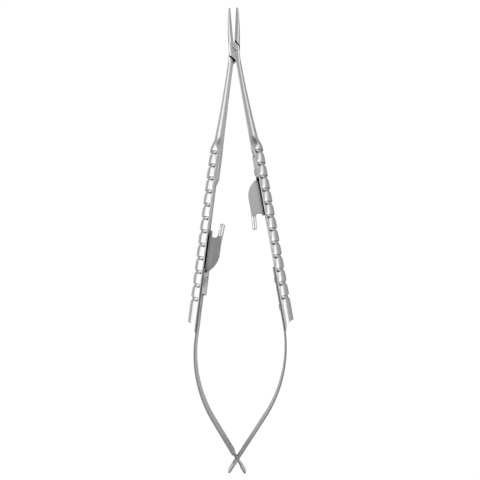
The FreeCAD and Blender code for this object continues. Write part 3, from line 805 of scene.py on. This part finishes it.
def bent_leaf(name, rule, rows, over, rivets, hole=None):
    """The blank, drilled at some distances from the pivot, then bent along its path."""
    made = blank(name, rows, rivets, hole)
    for vertex in made.data.vertices:
        vertex.co = rule(vertex.co)
    turn = Matrix.Rotation(math.pi, 4, "Y") if over else Matrix.Identity(4)
    made.data.transform(Matrix.Translation(PIVOT) @ Matrix.Scale(MM, 4) @ turn)
    return made


def tapering(straight, to_crossing, last):
    """Rows from the leaf's top down to a distance from the crossing."""
    rows = []
    end = to_crossing + last
    count = 120
    for step in range(count):
        along = end * step / count
        half = LEAF_HALF_TOP + (LEAF_HALF_TAIL - LEAF_HALF_TOP) * min(along / straight, 1)
        rows.append((along, half, SLOT_HALF))
    return rows


leaf_steel = steel(
    "spring_steel",
    dark=0.6,
    light=0.65,
    smoothest=0.25,
    roughest=0.31,
    relief=0.1,
    edge=0.00006,
    # Painted shade on the leaves' up-facing top edges
    painted_top_tone=0.55,
    i_Fineness=7000.0,
)

put, straight, to_crossing = leaf_path(bend_start=-2.1, tail_lean=35.3, crossing_x=-2.4)
rows = tapering(straight, to_crossing, SLOT_START)
slot_rows = []
for turn in range(0, 91, 15):
    run = SLOT_CORNER * (1 - math.cos(math.radians(turn)))
    gap = SLOT_HALF - SLOT_CORNER + SLOT_CORNER * math.sin(math.radians(turn))
    slot_rows.append((SLOT_START + run, gap))
slot_rows += [(past, SLOT_HALF) for past in (-1.5, -0.6, 0.3, 1.2)]
for turn in range(0, 91, 15):
    run = SLOT_CORNER * math.sin(math.radians(turn))
    gap = SLOT_HALF - SLOT_CORNER + SLOT_CORNER * math.cos(math.radians(turn))
    slot_rows.append((SLOT_END - SLOT_CORNER + run, gap))
rows += [(to_crossing + past, LEAF_HALF_TAIL, gap) for past, gap in slot_rows]
for turn in range(0, 91, 10):
    run = TAIL_ROUND * math.sin(math.radians(turn))
    half = LEAF_HALF_TAIL - TAIL_ROUND + TAIL_ROUND * math.cos(math.radians(turn))
    rows.append((to_crossing + TAIL_LENGTH - TAIL_ROUND + run, half, 0.45 * half))
hole = (to_crossing + SLOT_START, to_crossing + SLOT_END)
drilled = [UPPER_LEAF_RIVET, LOWER_LEAF_RIVET]
right_leaf = bent_leaf("right_spring_leaf", put, rows, False, drilled, hole)
finished(right_leaf, None, leaf_steel, "right_leaf")

# The tongue, as (distance past the crossing, half width): a narrow neck, then the barb
TONGUE_START = -2.6
TONGUE = [
    (TONGUE_START, LEAF_HALF_TAIL),
    (-1.6, 1.3),
    (0.5, 1.3),
    (2.58, 1.3),
    (2.62, 2.1),
    (4.0, 1.78),
    (5.35, 1.46),
    (TAIL_LENGTH, 1.3),
]
put, straight, to_crossing = leaf_path(bend_start=2.4, tail_lean=31.3, crossing_x=2.4)
rows = tapering(straight, to_crossing, TONGUE_START)
rows += [(to_crossing + past, half, 0.5 * half) for past, half in TONGUE]
drilled = [LEFT_CATCH_PLACE + FOOT_RIVET, LOWER_LEAF_RIVET]
left_leaf = bent_leaf("left_spring_leaf", put, rows, True, drilled)
finished(left_leaf, None, leaf_steel, "left_leaf")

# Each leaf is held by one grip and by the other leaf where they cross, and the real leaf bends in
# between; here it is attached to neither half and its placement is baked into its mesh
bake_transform(left_leaf)
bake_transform(right_leaf)

# The catches: two pressings of stainless sheet, each folded to a foot and a web with a post.
# When the handle is squeezed the left post snaps behind the right one and holds it shut.
SHEET = 1.0
CATCH_LENGTH = 22.95
WEB_REACH = 5.3
WEB_TAPER_END = 13.75
WEB_TOP = 1.5
JOGGLE_START = 11.45
WEB_CORNER = 0.8
WEB_SWEEP = [(-WEB_REACH, 7.05), (-4.45, 10.35)]
FLANGE_HALF = 3.8
FLANGE_ROUND = 1.2
BEND_RADIUS = 0.9
POST_WIDTH = 1.8
POST_LENGTH = 5.9
POST_TILT = math.radians(5)
POST_EDGE = 0.3
POST_FILLET = 0.8
POST_HEIGHT = 1.5
POST_ROOT = 1.6
# A hair below the web, so that the two tops don't lie in one plane
POST_DROP = 0.006
OPEN_END_SLANT = 0.8
EAR_LENGTH = 2.15
EAR_HEIGHT = 3.2
DENT_RADIUS = 0.35
DENT_SHARE = 0.65


def on_grip(right, distance, height=0.0):
    """Place on a grip's seat: x = 0 is the seat, and the grip lies beyond it."""
    if right:
        shift = Matrix.Translation((SEAT, -distance, height))
        return Matrix.Rotation(lean, 4, "Z") @ shift
    shift = Matrix.Translation((-SEAT, -distance, height))
    return Matrix.Rotation(-lean, 4, "Z") @ shift @ Matrix.Rotation(math.pi, 4, "Z")


def arc(first, middle, last, steps):
    """Points on the circle through three (x, y) points."""
    a, b, c = (Vector(point) for point in (first, middle, last))
    p, q = b - a, c - a
    spread = 2 * (p.x * q.y - p.y * q.x)
    centre = a + Vector(
        (q.y * p.length_squared - p.y * q.length_squared, p.x * q.length_squared - q.x * p.length_squared)
    ) / spread
    start = math.atan2(a.y - centre.y, a.x - centre.x)
    sweep = math.atan2(c.y - centre.y, c.x - centre.x) - start
    if sweep * spread < 0:
        sweep += math.copysign(2 * math.pi, spread)
    radius = (a - centre).length
    turns = [start + sweep * step / steps for step in range(steps + 1)]
    return [(centre.x + radius * math.cos(t), centre.y + radius * math.sin(t)) for t in turns]


def slab(points, low, high):
    """Flat sheet over an outline of (x, y) points."""
    bm = bmesh.new()
    skin(bm, [[Vector((x, y, z)) for x, y in points] for z in (low, high)])
    return bm


def rounding(past, radius):
    """How far a rounded corner draws in at a distance from the end."""
    left = radius - min(max(past, 0), radius)
    return radius - math.sqrt(radius**2 - left**2)


def flange(joggle):
    """Upright sheet from the open end to the foot; the foot steps inward by the joggle."""
    bm = bmesh.new()
    rings = []
    steps = [0, 0.05, 0.12, 0.25, 0.45, 0.7, FLANGE_ROUND]
    stations = steps + [JOGGLE_START + share / 8 for share in range(9)] + [WEB_TAPER_END - 0.01]
    stations += [WEB_TAPER_END + step for step in steps]
    stations += [CATCH_LENGTH - step for step in steps[::-1]]
    for station in stations:
        inward = joggle * smooth(station - JOGGLE_START)
        from_ends = rounding(min(station, CATCH_LENGTH - station), FLANGE_ROUND)
        low = from_ends - FLANGE_HALF
        high = WEB_TOP
        if station >= WEB_TAPER_END:
            high = FLANGE_HALF - max(from_ends, rounding(station - WEB_TAPER_END, FLANGE_ROUND))
        outline = [(-SHEET, low), (0, low), (0, high), (-SHEET, high)]
        rings.append([Vector((x - inward, station, z)) for x, z in outline])
    skin(bm, rings)
    return solid("flange", bm)


def web(joggle):
    """Web folded inward, its inner edge sweeping back to the foot."""
    heel = OPEN_END_SLANT * (1 - POST_WIDTH / WEB_REACH)
    side = POST_WIDTH - WEB_REACH
    points = [(-joggle, WEB_TAPER_END), (-joggle, JOGGLE_START + 1), (0, JOGGLE_START), (0, 0)]
    for turn in range(0, 91, 10):
        across = side + WEB_CORNER - WEB_CORNER * math.sin(math.radians(turn))
        along = heel - WEB_CORNER + WEB_CORNER * math.cos(math.radians(turn))
        points.append((across, along))
    points += [(-WEB_REACH, heel - WEB_CORNER)]
    points += arc(*WEB_SWEEP, (-joggle - SHEET, WEB_TAPER_END), 16)
    return solid("web", slab(points, WEB_TOP - SHEET, WEB_TOP))


def fold_cutter(length):
    """What is missing outside the round of the fold."""
    middle = WEB_TOP - BEND_RADIUS
    outline = [(SHEET, middle), (SHEET, WEB_TOP + 1), (-BEND_RADIUS, WEB_TOP + 1)]
    for turn in range(90, -1, -9):
        angle = math.radians(turn)
        outline.append((BEND_RADIUS * (math.cos(angle) - 1), middle + BEND_RADIUS * math.sin(angle)))
    bm = bmesh.new()
    skin(bm, [[Vector((x, y, z)) for x, z in outline] for y in (-1, length)])
    return solid("fold", bm)


def post():
    """Round-topped post leaning inward from the open end."""
    bm = bmesh.new()
    rings = []
    for past in [0, 0.02, 0.07, 0.15, POST_EDGE, 2.0, 4.0, POST_LENGTH + POST_ROOT]:
        drawn_in = rounding(past, POST_EDGE)
        left, right, top = drawn_in, POST_WIDTH - drawn_in, WEB_TOP - POST_DROP - drawn_in
        ring = [(left, drawn_in - POST_HEIGHT), (right, drawn_in - POST_HEIGHT)]
        turns = [(right - POST_FILLET, turn) for turn in range(0, 91, 15)]
        turns += [(left + POST_FILLET, turn) for turn in range(90, 181, 15)]
        for centre, turn in turns:
            angle = math.radians(turn)
            height = top - POST_FILLET + POST_FILLET * math.sin(angle)
            ring.append((centre + POST_FILLET * math.cos(angle), height))
        rings.append([Vector((x, past - POST_LENGTH, z)) for x, z in ring])
    skin(bm, rings)
    made = solid("post", bm)
    corner = Matrix.Translation((-WEB_REACH, OPEN_END_SLANT, 0))
    made.data.transform(corner @ Matrix.Rotation(-POST_TILT, 4, "Z"))
    return made


def catch(name, joggle, extra=(), dents=()):
    """The whole pressing in its own frame, drilled for its two rivets."""
    whole = joined(name, flange(joggle), [web(joggle), post(), *extra], "UNION")
    holes = [fold_cutter(JOGGLE_START if joggle else WEB_TAPER_END), *dents]
    for station, height in ((FOOT_RIVET, 0), (WEB_RIVET, WEB_RIVET_HEIGHT)):
        rivet_hole = drill(-1, 3)
        across = Matrix.Rotation(-math.pi / 2, 4, "Y")
        rivet_hole.data.transform(Matrix.Translation((0, station, height)) @ across)
        holes.append(rivet_hole)
    return joined(name, whole, holes, "DIFFERENCE")


ear_top = WEB_TOP - SHEET
ear = solid("ear", brick((-SHEET, -EAR_LENGTH, ear_top - EAR_HEIGHT), (0, SHEET, ear_top)))
down_post = Vector((-math.sin(POST_TILT), -math.cos(POST_TILT), 0))
across_post = Vector((math.cos(POST_TILT), -math.sin(POST_TILT), 0))
dent = solid("dent", lathed([(0, -2), (DENT_RADIUS, -2), (DENT_RADIUS, 2), (0, 2)], 24))
dent_place = Vector((-WEB_REACH, OPEN_END_SLANT, 0)) + across_post * POST_WIDTH
dent.data.transform(Matrix.Translation(dent_place + down_post * DENT_SHARE * POST_LENGTH))
catch_steel = steel(
    "pressed_sheet",
    dark=0.82,
    light=0.9,
    smoothest=0.22,
    roughest=0.32,
    relief=0.2,
    edge=0.00012,
    # Painted shade reaching 3 mm darkens the web towards its fold and the grip
    around=0.003,
    i_Fineness=6000.0,
)
left_catch = catch("left_catch_pressing", LEAF_THICKNESS, [ear], [dent])
right_catch = catch("right_catch_pressing", 0.0)
to_scene = Matrix.Translation(PIVOT) @ Matrix.Scale(MM, 4)
left_catch.data.transform(to_scene @ on_grip(False, LEFT_CATCH_PLACE))
right_catch.data.transform(to_scene @ on_grip(True, RIGHT_CATCH_PLACE))
finished(left_catch, "lower_half", catch_steel, "left_catch")
finished(right_catch, "upper_half", catch_steel, "right_catch")

# The rivets: soft steel pins with low round heads. Two hold each catch and two each leaf; on
# the left one long rivet goes through the catch's foot and the leaf under it.
def turned_piece(name, profile, place):
    """Lathed piece about its own axis, set at a place in millimetres about the pivot."""
    made = solid(name, lathed(profile))
    made.data.transform(Matrix.Scale(MM, 4))
    shift = Matrix.Translation(PIVOT + place.to_translation() * MM)
    made.matrix_world = shift @ place.to_3x3().to_4x4()
    return made


# Fine rings that the lathe leaves round a piece's own axis
rings, taken, given = socketed(
    "lathe_rings",
    [("Fineness", "NodeSocketFloat", 26000.0)],
    [("Lines", "NodeSocketFloat"), ("Clouds", "NodeSocketFloat")],
)
place = node(rings, "ShaderNodeTexCoord")
flat = node(rings, "ShaderNodeVectorMath", operation="MULTIPLY")
flat.inputs[1].default_value = (1, 1, 0)
radius = node(rings, "ShaderNodeVectorMath", operation="LENGTH")
cuts = node(rings, "ShaderNodeTexNoise", noise_dimensions="1D", i_Detail=3.0)
clouds = node(rings, "ShaderNodeTexNoise", i_Scale=1200.0, i_Detail=4.0)
rings.links.new(place.outputs["Object"], flat.inputs[0])
rings.links.new(flat.outputs["Vector"], radius.inputs[0])
rings.links.new(radius.outputs["Value"], cuts.inputs["W"])
rings.links.new(taken.outputs["Fineness"], cuts.inputs["Scale"])
rings.links.new(place.outputs["Object"], clouds.inputs["Vector"])
rings.links.new(cuts.outputs["Fac"], given.inputs["Lines"])
rings.links.new(clouds.outputs["Fac"], given.inputs["Clouds"])

rivet_steel = steel(
    "rivet_pins",
    dark=0.5,
    light=0.62,
    smoothest=0.24,
    roughest=0.4,
    relief=0.4,
    edge=0.00005,
    pattern=rings,
)
# The head's outline, as (radius, height) points
RIVET_HEAD = [
    (1.2, 0),
    (1.2, 0.08),
    (1.17, 0.17),
    (1.06, 0.26),
    (0.85, 0.315),
    (0.5, 0.343),
    (0, 0.35),
]
# Each rivet's node, grip, place in the grip and the thickness of what it holds
both_sheets = SHEET + LEAF_THICKNESS
RIVETS = [
    ("right_catch_foot_rivet", True, upper_rivets[0], SHEET),
    ("right_catch_web_rivet", True, upper_rivets[1], SHEET),
    ("right_leaf_rivet_upper", True, upper_rivets[2], LEAF_THICKNESS),
    ("right_leaf_rivet_lower", True, upper_rivets[3], LEAF_THICKNESS),
    ("left_catch_foot_rivet", False, lower_rivets[0], both_sheets),
    ("left_catch_web_rivet", False, lower_rivets[1], SHEET),
    ("left_leaf_rivet", False, lower_rivets[2], LEAF_THICKNESS),
]
for name, right, (distance, height), stack in RIVETS:
    profile = [(0, -RIVET_DEPTH), (RIVET_RADIUS, -RIVET_DEPTH), (RIVET_RADIUS, stack)]
    profile += [(radius, stack + up) for radius, up in RIVET_HEAD]
    across = on_grip(right, distance, height) @ Matrix.Rotation(-math.pi / 2, 4, "Y")
    rivet = turned_piece(f"{name}_pin", profile, across)
    finished(rivet, "upper_half" if right else "lower_half", rivet_steel, name)

# The pivot screw: turned from hard steel, its countersunk head and its tail dressed flush with
# the joint after fitting, so that only the slot and a hair line round the head show.
TAIL_CHAMFER = 0.05
HEAD_EDGE = 0.02
DRIVER_SLOT_HALF = 0.175
DRIVER_SLOT_DEPTH = 0.3
DRIVER_SLOT_TURN = math.radians(35)
screw_steel = steel(
    "hard_screw",
    dark=0.5,
    light=0.6,
    smoothest=0.16,
    roughest=0.3,
    relief=0.4,
    edge=0.00004,
    pattern=rings,
)
top = JOINT_HEIGHT / 2
profile = [
    (0, -top),
    (SCREW_STEM - TAIL_CHAMFER, -top),
    (SCREW_STEM, TAIL_CHAMFER - top),
    (SCREW_STEM, top - SCREW_HEAD + SCREW_STEM),
    (SCREW_HEAD - HEAD_EDGE, top - HEAD_EDGE),
    (SCREW_HEAD - 2 * HEAD_EDGE, top),
    (0, top),
]
screw = turned_piece("slotted_pivot_screw", profile, Matrix.Identity(4))
slot_low = (-DRIVER_SLOT_HALF, -2, top - DRIVER_SLOT_DEPTH)
driver_slot = solid("driver_slot", brick(slot_low, (DRIVER_SLOT_HALF, 2, top + 1)))
driver_slot.data.transform(Matrix.Scale(MM, 4) @ Matrix.Rotation(DRIVER_SLOT_TURN, 4, "Z"))
driver_slot.location = PIVOT
joined("slotted_pivot_screw", screw, [driver_slot], "DIFFERENCE")
finished(screw, "lower_half", screw_steel, "pivot_screw")
